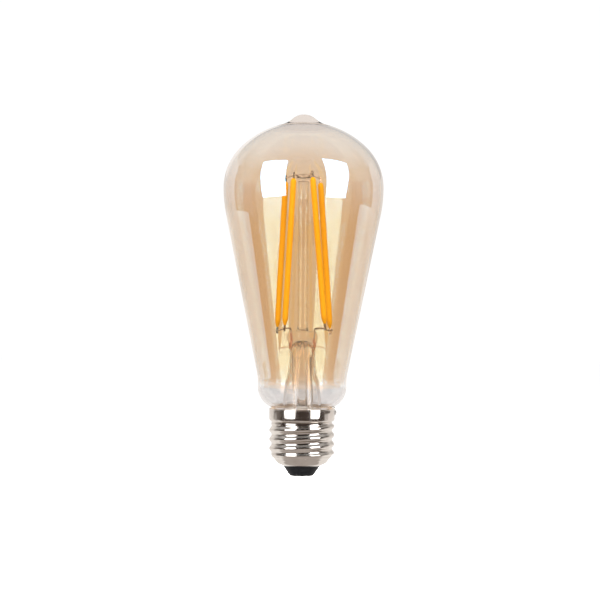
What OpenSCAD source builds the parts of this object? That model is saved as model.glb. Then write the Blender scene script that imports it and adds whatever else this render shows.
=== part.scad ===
// Filament-style smart light bulb with a pear-shaped amber glass envelope and an E27 screw cap.
// The lamp axis is Z. The origin is the bottom centre of the cap's centre contact, and +Z points to the tip.

/* [Glass envelope] */
// Largest diameter of the envelope
bulb_d = 64; // [62:0.5:65]
// Height of the widest plane above the centre contact
widest_z = 115; // [113:0.5:118]
// Radius of the arc over the shoulder
shoulder_r = 22.5; // [21:0.5:24]
// Radius of the dome on top
dome_r = 36; // [34:0.5:40]
// Radius of the long arc below the widest plane
flank_r = 54; // [45:1:70]
// Half angle of the straight taper, in degrees
taper_angle = 11.5; // [11:0.1:12]
// Radius of the upright band above the neck
band_r = 17.7; // [17:0.1:18.4]
// Thickness of the blown glass
glass_wall = 0.9; // [0.6:0.1:1.1]
// Overall length, from the centre contact to the sealed tip
overall_h = 144.4; // [143.6:0.1:145]

/* [Screw cap] */
// Height of the cap's rim above the centre contact
cap_h = 26.9; // [26.5:0.1:27.2]
// Radius of the plain band at the rim
rim_r = 13.1; // [13.05:0.01:13.2]
// Radius over the thread's crests
thread_crest_r = 13.05; // [13.03:0.01:13.2]
// Radius at the thread's roots
thread_root_r = 12.1; // [11.98:0.01:12.18]
// Thickness of the cap's sheet metal
cap_wall = 0.35; // [0.25:0.05:0.4]

/* [Filaments] */
// Length of a filament's phosphor coat
filament_l = 58.4; // [56:0.2:59]
// Diameter of the phosphor coat
filament_d = 2.4; // [2.2:0.1:2.6]
// Number of LED chips in each filament
chip_count = 28; // [20:2:32]

/* [Glass stem] */
// Radius of the stem tube
stem_r = 5.3; // [5.2:0.1:5.6]
// Radius of the centre rod
rod_r = 2; // [1.8:0.1:2.1]
// Radius of the exhaust tube
exhaust_r = 2.3; // [2:0.1:2.4]

/* [Driver] */
// Thickness of the circuit boards
board_t = 1; // [0.8:0.1:1.1]

/* [Hidden] */
$fn = 48;

// Envelope: every arc is tangent to the next, so the centres follow from the driving radii.
bulb_r = bulb_d / 2;
dome_drop = sqrt(pow(dome_r - shoulder_r, 2) - pow(bulb_r - shoulder_r, 2));
dome_z = widest_z - dome_drop;
shoulder_angle = atan2(dome_drop, bulb_r - shoulder_r);
flank_foot = [bulb_r - flank_r * (1 - cos(taper_angle)), widest_z - flank_r * sin(taper_angle)];
band_blend_r = 14;
band_blend_x = band_r + band_blend_r * (1 - cos(taper_angle));
band_top_z = flank_foot[1] - band_blend_r * sin(taper_angle)
    - (flank_foot[0] - band_blend_x) / tan(taper_angle);
band_foot_z = 35.5;
neck_arc_r = 8.8;
neck_r = 11.2;
neck_foot_z = 17;
neck_fillet_r = 1.5;
neck_fillet_z = band_foot_z - sqrt(pow(neck_arc_r + neck_fillet_r, 2)
    - pow(neck_r + neck_fillet_r - band_r + neck_arc_r, 2));
neck_angle = atan2(band_foot_z - neck_fillet_z, neck_r + neck_fillet_r - band_r + neck_arc_r);

// Sealed tip: a rounded cap of its own, filleted into the dome.
tip_r = 7;
tip_fillet_r = 12;
tip_z = overall_h - tip_r;
tip_fillet = two_circles([0, dome_z], dome_r + tip_fillet_r, [0, tip_z], tip_r + tip_fillet_r);
tip_dome_angle = atan2(tip_fillet[1] - dome_z, tip_fillet[0]);
tip_cap_angle = atan2(tip_fillet[1] - tip_z, tip_fillet[0]);

// E27 thread: right-handed, rounded crests, 7 turns to the inch.
thread_pitch = 25.4 / 7;
thread_foot_z = 7.9;
thread_top_z = 21.4;
thread_start_z = 1.84;
thread_fade = 1.3;
thread_columns = 36;
thread_rows = 24;
seam_lap = 0.1;
rim_foot_z = 22.9;
rim_bore_r = rim_r - cap_wall;

// Stem: half widths along X and Y at each height, outside from the flare's rim up to the press.
press_top_z = 58;
cavity_top_z = 51.6;
stem_wall = 0.9;
stem_sides = 28;
stem_outside = [
    [neck_foot_z, neck_r - glass_wall, neck_r - glass_wall], [18.6, 9.7, 9.7], [20.5, 9.0, 9.0],
    [24, 8.3, 8.3], [28, 7.8, 7.8], [33, 7.3, 7.3], [37, 6.8, 6.8], [40, 6.1, 6.1], [43, 5.5, 5.5],
    [48.5, stem_r, stem_r], [50.6, stem_r, 4.6], [52.4, 5.5, 3.2], [54, 6.0, 2.2], [55.6, 6.2, 1.9],
    [57.3, 5.7, 1.9], [press_top_z, 4.9, 1.6]
];
stem_tube_rings = 10;
stem_inside = [
    [cavity_top_z, stem_r - stem_wall, 2.5],
    [50.6, stem_r - stem_wall, stem_r - stem_wall - 0.6],
    for (i = [stem_tube_rings - 1 : -1 : 0]) let (s = stem_outside[i])
        [s[0], s[1] - stem_wall, s[2] - stem_wall]
];

// Leads: each side runs straight through the press, in at the foot and out at the head.
wire_r = 0.27;
seal_r = 0.42;
wire_sides = 8;
seal_foot_z = 49.4;
seal_head_z = 58.4;
left_seal = [[-4.0, 0, seal_foot_z], [-4.55, 0, seal_head_z]];
right_seal = [[4.0, 0, seal_foot_z], [4.85, 0, seal_head_z]];
left_dumet = [51, 57];
right_dumet = [seal_foot_z, 54.6];

// Filaments: bottom end of the phosphor coat, then X and Y of its top end. The coat's length gives the rest.
FILAMENTS = [
    [[-10.2, 6.0, 59.4], [-7.2, 3.0]],
    [[-7.0, -9.0, 60.4], [-4.0, -4.4]],
    [[8.65, -7.8, 61.0], [3.6, -4.2]],
    [[11.1, 4.6, 59.1], [6.8, 2.6]]
];
coat_taper = 2.4;
coat_end_r = 0.62;
strip_w = 0.9;
strip_t = 0.4;
chip_w = 0.5;
chip_l = 1.1;
chip_t = 0.25;
tab_w = 0.9;
tab_t = 0.3;
tab_l = 2.6;
weld_gap = 0.01;
button_r = 2.9;
button_foot_z = 117.4;
button_top_z = 120.6;

// Routes of the bent wires. A weld is a straight stretch that lies across a filament's tab.
front_support = concat(
    reverse(weld(1, 1, 1.5, -1)),
    [[-2.9, -2.3, 120.2], [-1.4, -1.0, 119.3], [1.4, -1.0, 119.3], [2.6, -1.9, 120.2], [3.2, -2.5, 121.0]],
    weld(2, 1, 1.6, 1)
);
rear_support = concat(
    reverse(weld(0, 1, 1.7, -1)),
    [[-4.7, 2.1, 120.0], [-2.9, 1.4, 120.2], [-1.4, 0.9, 119.4], [1.4, 0.9, 119.4], [2.9, 1.4, 119.9],
        [4.7, 1.9, 119.8]],
    weld(3, 1, 1.9, 1)
);
left_lead = concat(
    [along_seal(left_seal, left_dumet[1]), along_seal(left_seal, 57.6), along_seal(left_seal, 58.2),
        [-4.9, -0.9, 59.0], [-5.5, -4, 59.2]],
    weld(1, 0, 1.4, 1)
);
left_branch = concat([[-4.7, -0.2, 58.8], [-6.1, 1.7, 58.9], [-8.0, 4.0, 58.5]], weld(0, 0, 1.5, -1));
right_lead = concat(
    [along_seal(right_seal, right_dumet[1]), along_seal(right_seal, 57.4), along_seal(right_seal, 58.2),
        [5.2, -0.9, 59.0], [6.4, -4, 59.2]],
    weld(2, 0, 1.8, 1)
);
right_branch = concat([[5.0, -0.2, 58.8], [7.0, 1.4, 58.9], [9.2, 3.0, 58.8]], weld(3, 0, 0.9, -1),
    [[12.4, 5.3, 58.3]]);
left_outer = [along_seal(left_seal, left_dumet[0]), left_seal[0], [-3.9, 0, 44], [-3.5, -0.3, 36],
    [-3.0, -0.85, 29], [-3.0, -0.85, 23]];
right_outer = [right_seal[0], [3.9, -0.1, 44], [3.4, -0.4, 36], [2.9, -0.85, 29], [2.9, -0.85, 23]];
antenna_route = [[4.2, 1.75, 23.5], [4.2, 1.75, 26], [4.0, 1.4, 32], [3.7, 1.2, 38], [3.55, 1.3, 44],
    [3.5, 1.3, 47.5]];
live_route = [[0, 0, 4.6], [0, 0, 5.4], [0, -0.8, 6.7], [0, -3, 7.1], [0, -5.6, 7.1], [0, -6.8, 7.6], [0, -7, 8.2],
    [0, -7, 8.58]];
neutral_route = [[7.4, -0.72, 11], [8.7, -0.6, 12.6], [10.6, -0.2, 14.4], [11.47, 0, 16.6], [11.47, 0, 20.6],
    [12.1, 0, 23], [12.42, 0, 25.6], [12.45, 0, 26.6], [12.6, 0, 27.1], [12.92, 0, 27.28], [13.25, 0, 27.1],
    [13.34, 0, 26.5], [13.34, 0, 24.4]];
neutral_r = 0.2;

// Driver: a stepped board on edge in the cap, with its parts on both faces.
board_foot_z = 7.6;
board_step_z = 17;
board_top_z = 25.6;
board_foot_w = 16.4;
board_head_w = 11.6;
board_face = board_t / 2;
front_y = -4.3;
can_r = 3.15;
coil_r = 3;
sleeve_r = 9.35;
sleeve_t = 0.15;

// ---- Functions ----

function unit(v) = v / norm(v);

// Points along an arc about centre c, in the (radius, height) plane.
function arc(c, r, from, to, steps) =
    [for (i = [0 : steps]) let (a = from + (to - from) * i / steps) [c[0] + r * cos(a), c[1] + r * sin(a)]];

// Right-hand crossing of a circle about a with one about b, both centres on the axis.
function two_circles(a, ra, b, rb) =
    let (d = b[1] - a[1], z = a[1] + (d * d + ra * ra - rb * rb) / (2 * d))
        [sqrt(ra * ra - pow(z - a[1], 2)), z];

// Envelope outline from the neck's foot to the start of the dome, moved inwards by t.
function envelope_side(t) = concat(
    [[neck_r - t, neck_foot_z]],
    arc([neck_r + neck_fillet_r, neck_fillet_z], neck_fillet_r + t, 180, 180 - neck_angle, 5),
    arc([band_r - neck_arc_r, band_foot_z], neck_arc_r - t, -neck_angle, 0, 9),
    arc([band_r + band_blend_r, band_top_z], band_blend_r + t, 180, 180 - taper_angle, 3),
    arc([bulb_r - flank_r, widest_z], flank_r - t, -taper_angle, 0, 5),
    arc([bulb_r - shoulder_r, widest_z], shoulder_r - t, 6, shoulder_angle, 9)
);

// Height of a point on a press lead, and the point itself.
function along_seal(seal, z) =
    seal[0] + (seal[1] - seal[0]) * (z - seal[0][2]) / (seal[1][2] - seal[0][2]);

// Ends of a filament's coat: 0 is the bottom, 1 is the top.
function filament_end(i, end) = let (f = FILAMENTS[i], p = f[0], q = f[1])
    end == 0 ? p
        : [q[0], q[1], p[2] + sqrt(pow(filament_l, 2) - pow(q[0] - p[0], 2) - pow(q[1] - p[1], 2))];

function filament_dir(i) = unit(filament_end(i, 1) - filament_end(i, 0));

// Level direction from a filament towards the lamp's axis, and the normal of its tabs' flat face.
function inward(i) = let (d = filament_dir(i)) unit([d[0], d[1], 0]);
function tab_normal(i) = let (v = inward(i)) [-v[1], v[0], 0];

// Straight stretch of wire across a tab, beyond one end of the coat, on the face that face (1 or -1) picks.
function weld(i, end, beyond, face) =
    let (c = filament_end(i, end) + filament_dir(i) * beyond * (end == 0 ? -1 : 1)
            + tab_normal(i) * face * (tab_t / 2 + wire_r + weld_gap))
        [c + inward(i) * 0.8, c - inward(i) * 0.45];

function reverse(list) = [for (i = [len(list) - 1 : -1 : 0]) list[i]];

// Smooth curve through every point of a path, with steps points on each leg.
function curve_point(a, b, c, d, t) =
    0.5 * (2 * b + (c - a) * t + (2 * a - 5 * b + 4 * c - d) * t * t + (3 * b - a - 3 * c + d) * t * t * t);
function smooth(path, steps) =
    let (last = len(path) - 1)
        concat(
            [for (i = [0 : last - 1], k = [0 : steps - 1])
                curve_point(path[max(i - 1, 0)], path[i], path[i + 1], path[min(i + 2, last)], k / steps)],
            [path[last]]
        );

// Direction of a path at point i, the mean of the legs that meet there.
function heading(path, i) =
    let (last = len(path) - 1,
        before = i > 0 ? unit(path[i] - path[i - 1]) : [0, 0, 0],
        after = i < last ? unit(path[i + 1] - path[i]) : [0, 0, 0])
            unit(before + after);

// A side vector carried along the path without twist, one for each point.
function sides_along(path, u, i = 0) =
    i == len(path) ? []
        : let (d = heading(path, i), v = unit(u - d * (u * d)))
            concat([v], sides_along(path, v, i + 1));

// A ring of points about p, square to d, starting at side vector u.
function ring_at(p, d, u, r) =
    let (v = cross(d, u))
        [for (k = [0 : wire_sides - 1]) let (a = 360 * k / wire_sides) p + r * (u * cos(a) + v * sin(a))];

function thread_ease(x) = let (t = min(max(x, 0), 1)) t * t * (3 - 2 * t);

// Radius of the thread's outer surface at an angle and height.
function thread_r(angle, z) =
    let (middle = (thread_crest_r + thread_root_r) / 2,
        swing = (thread_crest_r - thread_root_r) / 2,
        wave = middle + swing * cos(360 * (z - thread_start_z) / thread_pitch - angle),
        fade = thread_ease((z - thread_foot_z) / thread_fade) * thread_ease((thread_top_z - z) / thread_fade))
            thread_root_r + (wave - thread_root_r) * fade;

function thread_ring(z, inset) =
    [for (k = [0 : thread_columns - 1]) let (a = 360 * k / thread_columns, r = thread_r(a, z) - inset)
        [r * cos(a), r * sin(a), z]];

// A rounded flat section, fatter than an ellipse where it is wide.
function stem_ring(s) =
    [for (k = [0 : stem_sides - 1]) let (a = 360 * k / stem_sides) [s[1] * cos(a), s[2] * sin(a), s[0]]];

// ---- Helpers ----

// Rings of equal size joined into one closed skin. With loop, the last ring joins the first.
module skin(rings, loop = false) {
    sides = len(rings[0]);
    count = len(rings);
    spans = loop ? count : count - 1;
    points = [for (r = rings) each r];
    walls = [for (i = [0 : spans - 1], k = [0 : sides - 1])
        let (j = (i + 1) % count, n = (k + 1) % sides)
            [i * sides + k, j * sides + k, j * sides + n, i * sides + n]];
    ends = loop ? [] : [
        [for (k = [0 : sides - 1]) k],
        [for (k = [sides - 1 : -1 : 0]) (count - 1) * sides + k]
    ];
    polyhedron(points, concat(walls, ends), convexity = 6);
}

// Round wire on a smooth curve through a path's points.
module wire(path, r, steps = 3) {
    spine = smooth(path, steps);
    start = heading(spine, 0);
    sides = sides_along(spine, abs(start[1]) < 0.9 ? [0, 1, 0] : [1, 0, 0]);
    skin([for (i = [0 : len(spine) - 1]) ring_at(spine[i], heading(spine, i), sides[i], r)]);
}

// Children drawn along +Z are laid from p towards q.
module aim(p, q) {
    d = q - p;
    translate(p)
        rotate([0, acos(d[2] / norm(d)), atan2(d[1], d[0])])
            children();
}

module on_filament(i) {
    aim(filament_end(i, 0), filament_end(i, 1))
        children();
}

module block(size, at) {
    translate(at)
        cube(size, center = true);
}

// ---- Glass ----

module glass_bulb() {
    side = envelope_side(0);
    bore = envelope_side(glass_wall);
    tip = concat(
        arc([0, dome_z], dome_r, shoulder_angle + 4, tip_dome_angle, 6),
        arc(tip_fillet, tip_fillet_r, tip_dome_angle + 180, tip_cap_angle + 180, 4),
        arc([0, tip_z], tip_r, tip_cap_angle + 6, 90, 6)
    );
    crown = arc([0, dome_z], dome_r - glass_wall, 90, shoulder_angle + 4, 9);
    color([0.86, 0.66, 0.42, 0.4])
        rotate_extrude()
            polygon(concat(side, tip, crown, [for (i = [len(bore) - 1 : -1 : 0]) bore[i]]));
}

module stem_glass() {
    color([0.9, 0.92, 0.92, 0.5])
        difference() {
            skin([for (s = concat(stem_inside, stem_outside)) stem_ring(s)]);
            for (seal = [left_seal, right_seal])
                aim(seal[0], seal[1])
                    cylinder(r = seal_r, h = norm(seal[1] - seal[0]) + 1);
        }
}

module exhaust_tube() {
    wall = 0.7;
    end_z = 26;
    edge = 0.8;
    bore = exhaust_r - wall;
    color([0.9, 0.92, 0.92, 0.5])
        rotate_extrude()
            polygon(concat(
                [[0, end_z]],
                arc([exhaust_r - edge, end_z + edge], edge, -90, 0, 4),
                [[exhaust_r, cavity_top_z], [bore, cavity_top_z], [bore, end_z + wall], [0, end_z + wall]]
            ));
}

module centre_rod() {
    edge = 0.7;
    color([0.9, 0.92, 0.92, 0.5])
        difference() {
            rotate_extrude()
                polygon(concat(
                    [[0, press_top_z], [rod_r + 0.6, press_top_z], [rod_r + 0.2, press_top_z + 0.8],
                        [rod_r, press_top_z + 1.8], [rod_r, button_foot_z - 0.6], [rod_r + 0.3, button_foot_z]],
                    arc([button_r - edge, button_foot_z + edge], edge, -60, 0, 3),
                    arc([button_r - edge, button_top_z - edge], edge, 0, 80, 4),
                    [[0, button_top_z + 0.1]]
                ));
            wire(front_support, wire_r);
            wire(rear_support, wire_r);
        }
}

// ---- Wires that hold and feed the filaments ----

module support_wire_front() {
    color([0.62, 0.58, 0.55])
        wire(front_support, wire_r);
}

module support_wire_rear() {
    color([0.62, 0.58, 0.55])
        wire(rear_support, wire_r);
}

// A lead leaves the press, feeds one filament, and carries a branch welded on for the next one.
module lead_wire(path, branch) {
    color([0.6, 0.56, 0.53]) {
        wire(path, wire_r);
        wire(branch, wire_r);
    }
}

module lead_wire_left() {
    lead_wire(left_lead, left_branch);
}

module lead_wire_right() {
    lead_wire(right_lead, right_branch);
}

module dumet_seal(seal, span) {
    foot = along_seal(seal, span[0]);
    head = along_seal(seal, span[1]);
    color([0.72, 0.36, 0.24])
        aim(foot, head)
            cylinder(r = seal_r, h = norm(head - foot));
}

module dumet_seal_left() {
    dumet_seal(left_seal, left_dumet);
}

module dumet_seal_right() {
    dumet_seal(right_seal, right_dumet);
}

module outer_lead_left() {
    color([0.7, 0.45, 0.32])
        wire(left_outer, wire_r);
}

module outer_lead_right() {
    color([0.7, 0.45, 0.32])
        wire(right_outer, wire_r);
}

// ---- LED filaments, drawn upright from the coat's bottom end ----

module strip_profile(slack = 0) {
    translate([-strip_w / 2, -strip_t / 2, -slack])
        cube([strip_w, strip_t, filament_l + 2 * slack]);
}

module chip_row() {
    first = coat_taper + chip_l;
    step = (filament_l - 2 * first) / (chip_count - 1);
    for (n = [0 : chip_count - 1])
        block([chip_w, chip_t, chip_l], [0, -(strip_t + chip_t) / 2, first + n * step]);
}

module coat() {
    difference() {
        rotate_extrude()
            polygon([
                [0, 0], [coat_end_r, 0], [filament_d / 2 * 0.86, coat_taper * 0.45], [filament_d / 2, coat_taper],
                [filament_d / 2, filament_l - coat_taper], [filament_d / 2 * 0.86, filament_l - coat_taper * 0.45],
                [coat_end_r, filament_l], [0, filament_l]
            ]);
        strip_profile(1);
        chip_row();
    }
}

module filament(i) {
    color([1, 0.68, 0.12])
        on_filament(i)
            coat();
}

module filament_substrate(i) {
    color([0.93, 0.93, 0.9])
        on_filament(i)
            strip_profile();
}

module led_chips(i) {
    color([0.35, 0.45, 0.75])
        on_filament(i)
            chip_row();
}

// A tab butts on the strip's end and takes the wire on its outer stretch.
module filament_tabs(i) {
    color([0.55, 0.52, 0.5])
        on_filament(i)
            for (z = [-tab_l / 2, filament_l + tab_l / 2])
                block([tab_w, tab_t, tab_l], [0, 0, z]);
}

module filament_1() { filament(0); }
module filament_2() { filament(1); }
module filament_3() { filament(2); }
module filament_4() { filament(3); }
module filament_substrate_1() { filament_substrate(0); }
module filament_substrate_2() { filament_substrate(1); }
module filament_substrate_3() { filament_substrate(2); }
module filament_substrate_4() { filament_substrate(3); }
module led_chips_1() { led_chips(0); }
module led_chips_2() { led_chips(1); }
module led_chips_3() { led_chips(2); }
module led_chips_4() { led_chips(3); }
module filament_tabs_1() { filament_tabs(0); }
module filament_tabs_2() { filament_tabs(1); }
module filament_tabs_3() { filament_tabs(2); }
module filament_tabs_4() { filament_tabs(3); }

// ---- Screw cap ----

module thread_wall() {
    rows = [for (i = [0 : thread_rows]) thread_foot_z + (thread_top_z - thread_foot_z) * i / thread_rows];
    outside = [for (z = rows) thread_ring(z, 0)];
    inside = [for (i = [thread_rows : -1 : 0]) thread_ring(rows[i], cap_wall)];
    skin(concat(outside, inside), loop = true);
}

module cap_rim() {
    lip = thread_root_r + seam_lap;
    bore = thread_root_r - cap_wall - seam_lap;
    rotate_extrude()
        polygon(concat(
            [[bore, thread_top_z], [lip, thread_top_z]],
            arc([rim_r - 1.2, rim_foot_z], 1.2, -62, 0, 4),
            [[rim_r, cap_h], [rim_bore_r, cap_h], [rim_bore_r, rim_foot_z], [rim_bore_r - 0.35, rim_foot_z - 0.7]]
        ));
}

// Outside of the shoulder from the thread down to the lip that grips the insulator.
SHOULDER = [[11.9, 7.5], [11.2, 6.9], [10.6, 6.0], [9.9, 5.2], [9.2, 4.7], [8, 4.2]];
SHOULDER_BORE = [[8, 4.55], [9.05, 5.05], [9.65, 5.5], [10.3, 6.25], [10.9, 7.15], [11.5, 7.65]];

module cap_shoulder() {
    rotate_extrude()
        polygon(concat(
            [[thread_root_r + seam_lap, thread_foot_z]],
            SHOULDER,
            SHOULDER_BORE,
            [[thread_root_r - cap_wall - seam_lap, thread_foot_z]]
        ));
}

module cap_shell() {
    color([0.78, 0.75, 0.71])
        union() {
            cap_rim();
            thread_wall();
            cap_shoulder();
        }
}

module cap_insulator() {
    floor_z = 6.6;
    hole_r = 1.3;
    color([0.1, 0.1, 0.11])
        rotate_extrude()
            polygon(concat(
                [[hole_r, 0.3], [4.95, 0.3], [7.4, 3.95], [8, 4.2]],
                [for (i = [0 : 3]) SHOULDER_BORE[i]],
                [[10.3, floor_z], [hole_r, floor_z - 0.6]]
            ));
}

module centre_contact() {
    disc_r = 4.7;
    disc_t = 0.3;
    hole_r = 0.9;
    color([0.8, 0.77, 0.7])
        difference() {
            cylinder(r = disc_r, h = disc_t);
            translate([0, 0, disc_t / 2])
                cylinder(r = hole_r, h = disc_t);
        }
}

module contact_pin() {
    pin_r = 0.9;
    bore_r = 0.4;
    color([0.8, 0.66, 0.35])
        difference() {
            translate([0, 0, 0.15])
                cylinder(r = pin_r, h = 5.1);
            translate([0, 0, 4.4])
                cylinder(r = bore_r, h = 1);
        }
}

module basing_cement() {
    top_z = cap_h - 0.1;
    gap = 0.02;
    outer_r = rim_bore_r - gap;
    fillet = neck_fillet_r - gap;
    top_angle = 180 - asin((top_z - neck_fillet_z) / fillet);
    color([0.62, 0.5, 0.4])
        difference() {
            rotate_extrude()
                polygon(concat(
                    [[neck_r + gap, rim_foot_z], [outer_r, rim_foot_z], [outer_r, top_z]],
                    arc([neck_r + neck_fillet_r, neck_fillet_z], fillet, top_angle, 180, 4)
                ));
            wire(neutral_route, neutral_r);
        }
}

// ---- Driver electronics ----

module driver_board() {
    color([0.12, 0.36, 0.2])
        difference() {
            union() {
                block([board_foot_w, board_t, board_step_z - board_foot_z],
                    [0, 0, (board_foot_z + board_step_z) / 2]);
                block([board_head_w, board_t, board_top_z - board_step_z],
                    [0, 0, (board_step_z + board_top_z) / 2]);
            }
            for (x = [-3, 2.9])
                translate([x, 0, 24.6])
                    rotate([90, 0, 0])
                        cylinder(r = 0.4, h = 2 * board_t, center = true);
        }
}

module bridge_rectifier() {
    color([0.08, 0.08, 0.09])
        block([4.7, 1.5, 3.8], [0, -board_face - 0.85, 19.4]);
    color([0.8, 0.8, 0.8])
        for (x = [-1.3, 1.3], z = [-1, 1])
            block([0.7, 0.4, 2.4], [x, -board_face - 0.2, 19.4 + z * 1.9]);
}

module driver_chip() {
    color([0.08, 0.08, 0.09])
        block([4.9, 1.4, 3.9], [-4.2, board_face + 0.8, 11.2]);
    color([0.8, 0.8, 0.8])
        for (n = [0 : 3], z = [-1, 1])
            block([0.42, 0.3, 1.6], [-6.1 + n * 1.27, board_face + 0.15, 11.2 + z * 2.3]);
}

module electrolytic_capacitor() {
    foot_z = 8.2;
    body_h = 8.4;
    groove_z = foot_z + 1.3;
    color([0.16, 0.17, 0.2])
        translate([-3.7, front_y, 0])
            rotate_extrude()
                polygon([
                    [0, foot_z], [can_r - 0.3, foot_z], [can_r, foot_z + 0.4], [can_r, groove_z - 0.3],
                    [can_r - 0.35, groove_z], [can_r, groove_z + 0.3], [can_r, foot_z + body_h - 0.4],
                    [can_r - 0.3, foot_z + body_h], [0, foot_z + body_h]
                ]);
}

module inductor_core() {
    foot_z = 8.4;
    color([0.2, 0.2, 0.21])
        translate([3.7, front_y, foot_z]) {
            cylinder(r = coil_r, h = 1);
            cylinder(r = 1.4, h = 6.6);
            translate([0, 0, 5.6])
                cylinder(r = coil_r, h = 1);
        }
}

module inductor_winding() {
    foot_z = 9.4;
    turns = 8;
    turn_h = 4.6 / turns;
    color([0.72, 0.4, 0.2])
        translate([3.7, front_y, foot_z])
            rotate_extrude()
                polygon(concat(
                    [[1.4, 0]],
                    [for (n = [0 : turns - 1]) each [[2.35, n * turn_h], [2.6, (n + 0.5) * turn_h]]],
                    [[2.35, turns * turn_h], [1.4, turns * turn_h]]
                ));
}

module fuse_resistor() {
    foot_z = 8.6;
    color([0.45, 0.6, 0.5])
        translate([0, -7, foot_z])
            rotate_extrude()
                polygon([
                    [0, 0], [0.7, 0], [1.05, 0.3], [1.05, 1.2], [0.9, 1.5], [0.9, 4.3], [1.05, 4.6],
                    [1.05, 5.5], [0.7, 5.8], [0, 5.8]
                ]);
}

module board_passives() {
    color([0.75, 0.72, 0.66])
        for (x = [-4.9, 4.9], z = [18, 19.6, 21.2, 22.8])
            block([0.8, 0.6, 1.2], [x, -board_face - 0.3, z]);
    color([0.6, 0.5, 0.4])
        for (x = [1.2, 3.2, 5.2, 7])
            block([1.2, 0.7, 0.8], [x, board_face + 0.35, 9]);
}

module wifi_board() {
    color([0.1, 0.16, 0.3])
        block([10.6, 0.8, 10.6], [0, board_face + 0.4, 20.1]);
}

module wifi_shield() {
    color([0.75, 0.75, 0.76])
        block([7.4, 1.6, 7.4], [-0.6, board_face + 1.6, 19.4]);
}

module wifi_antenna() {
    color([0.25, 0.22, 0.2])
        wire(antenna_route, 0.45);
}

module live_wire() {
    color([0.75, 0.2, 0.15])
        wire(live_route, 0.35);
}

module neutral_wire() {
    color([0.75, 0.72, 0.68])
        wire(neutral_route, neutral_r);
}

module rim_solder() {
    $fn = 240;
    color([0.72, 0.71, 0.72])
        difference() {
            translate([rim_r - 0.7, 0, 25.3])
                sphere(r = 1.4);
            cylinder(r = rim_r, h = cap_h + 2);
            wire(neutral_route, neutral_r);
        }
}

// The neutral wire passes out through a slot in the sleeve.
module insulating_sleeve() {
    foot_z = 7.2;
    sleeve_h = 9.3;
    color([0.85, 0.85, 0.82])
        difference() {
            translate([0, 0, foot_z])
                cylinder(r = sleeve_r, h = sleeve_h);
            translate([0, 0, foot_z - 1])
                cylinder(r = sleeve_r - sleeve_t, h = sleeve_h + 2);
            block([1, 1.2, 2.6], [sleeve_r, -0.45, 13.2]);
        }
}

glass_bulb();
stem_glass();
exhaust_tube();
centre_rod();
support_wire_front();
support_wire_rear();
lead_wire_left();
lead_wire_right();
dumet_seal_left();
dumet_seal_right();
outer_lead_left();
outer_lead_right();
filament_1();
filament_2();
filament_3();
filament_4();
filament_substrate_1();
filament_substrate_2();
filament_substrate_3();
filament_substrate_4();
led_chips_1();
led_chips_2();
led_chips_3();
led_chips_4();
filament_tabs_1();
filament_tabs_2();
filament_tabs_3();
filament_tabs_4();
cap_shell();
cap_insulator();
centre_contact();
contact_pin();
basing_cement();
driver_board();
bridge_rectifier();
driver_chip();
electrolytic_capacitor();
inductor_core();
inductor_winding();
fuse_resistor();
board_passives();
wifi_board();
wifi_shield();
wifi_antenna();
live_wire();
neutral_wire();
rim_solder();
insulating_sleeve();
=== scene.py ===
"""Looks of a smart filament light bulb: amber glass, four LED filaments and an E27 screw cap."""
import math
import random

import bmesh
import bpy
from mathutils import Matrix, Vector, noise


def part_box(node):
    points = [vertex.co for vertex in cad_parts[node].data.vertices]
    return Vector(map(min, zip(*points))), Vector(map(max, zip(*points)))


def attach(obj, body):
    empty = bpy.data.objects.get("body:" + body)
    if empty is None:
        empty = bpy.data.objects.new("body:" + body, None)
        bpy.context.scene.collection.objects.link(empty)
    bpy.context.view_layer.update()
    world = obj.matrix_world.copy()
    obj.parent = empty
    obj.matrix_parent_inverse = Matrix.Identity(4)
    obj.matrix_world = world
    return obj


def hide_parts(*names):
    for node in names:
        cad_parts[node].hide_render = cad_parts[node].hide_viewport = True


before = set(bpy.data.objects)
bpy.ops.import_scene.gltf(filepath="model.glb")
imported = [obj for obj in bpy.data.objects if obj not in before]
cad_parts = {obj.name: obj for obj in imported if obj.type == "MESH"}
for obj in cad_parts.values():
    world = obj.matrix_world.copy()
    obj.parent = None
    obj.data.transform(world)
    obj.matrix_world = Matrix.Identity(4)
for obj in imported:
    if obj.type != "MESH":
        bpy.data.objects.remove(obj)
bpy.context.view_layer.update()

MM = 0.001
scene = bpy.context.scene


def box_mm(node):
    """Lowest and highest corner of a CAD node in millimetres."""
    low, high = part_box(node)
    return low / MM, high / MM


# ---- Sizes, in millimetres, in the CAD frame ----

bulb_low, bulb_high = box_mm("glass_bulb")
BULB_R = (bulb_high.x - bulb_low.x) / 2
NECK_FOOT_Z = bulb_low.z
TIP_TOP_Z = bulb_high.z
CAP_TOP_Z = box_mm("cap_shell")[1].z
GLASS_WALL = 0.9

WIDEST_Z = 115
SHOULDER_R = 22.5
DOME_R = 36
FLANK_R = 54
TAPER = math.radians(11.5)
BAND_R = 17.7
BAND_BLEND_R = 14
BAND_FOOT_Z = 35.5
NECK_ARC_R = 8.8
NECK_R = 11.2
NECK_FILLET_R = 1.5
TIP_R = 7
TIP_FILLET_R = 12
COATING_EDGE_Z = 36.6
TIP_EDGE_Z = 139.4
ENVELOPE_SIDES = 192

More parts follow.
